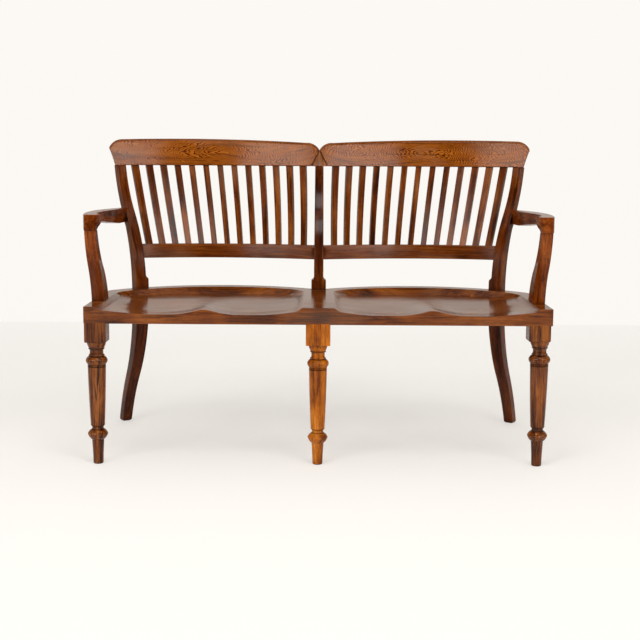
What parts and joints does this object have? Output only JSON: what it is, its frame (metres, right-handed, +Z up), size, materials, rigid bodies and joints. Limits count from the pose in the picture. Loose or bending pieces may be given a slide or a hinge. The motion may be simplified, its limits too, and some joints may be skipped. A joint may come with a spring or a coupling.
{
  "type": "settee",
  "caption": "Oak chair-back settee with two bowed slatted backs, a shared saddled seat board, open arms, turned front legs and sabre-curved back posts.",
  "frame": {"origin": "on the floor, under the middle of the bounding box", "axes": "+X to the right when seen from the front, +Y towards the back, +Z up; the sitter faces -Y"},
  "size_m": [1.3742, 0.7042, 0.93],
  "materials": {
    "oak_slats": "waxed, satin",
    "oak_posts": "waxed, satin",
    "oak_crest": "waxed, satin",
    "oak_rails": "waxed, satin",
    "oak_legs": "waxed, satin",
    "oak_arms": "waxed, satin",
    "oak_seat": "waxed, satin"
  },
  "bodies": {
    "root": {"arm_left": "oak_arms", "arm_right": "oak_arms", "arm_support_left": "oak_arms", "arm_support_right": "oak_arms", "back_post_centre": "oak_posts", "back_post_left": "oak_posts", "back_post_right": "oak_posts", "crest_rail_left": "oak_crest", "crest_rail_right": "oak_crest", "crest_spandrel": "oak_crest", "front_legs": "oak_legs", "lower_back_rail_left": "oak_rails", "lower_back_rail_right": "oak_rails", "seat": "oak_seat", "slat_01_left": "oak_slats", "slat_01_right": "oak_slats", "slat_02_left": "oak_slats", "slat_02_right": "oak_slats", "slat_03_left": "oak_slats", "slat_03_right": "oak_slats", "slat_04_left": "oak_slats", "slat_04_right": "oak_slats", "slat_05_left": "oak_slats", "slat_05_right": "oak_slats", "slat_06_left": "oak_slats", "slat_06_right": "oak_slats", "slat_07_left": "oak_slats", "slat_07_right": "oak_slats", "slat_08_left": "oak_slats", "slat_08_right": "oak_slats", "slat_09_left": "oak_slats", "slat_09_right": "oak_slats", "slat_10_left": "oak_slats", "slat_10_right": "oak_slats", "slat_11_left": "oak_slats", "slat_11_right": "oak_slats", "slat_12_left": "oak_slats", "slat_12_right": "oak_slats", "slat_13_left": "oak_slats", "slat_13_right": "oak_slats"}
  },
  "joints": []
}
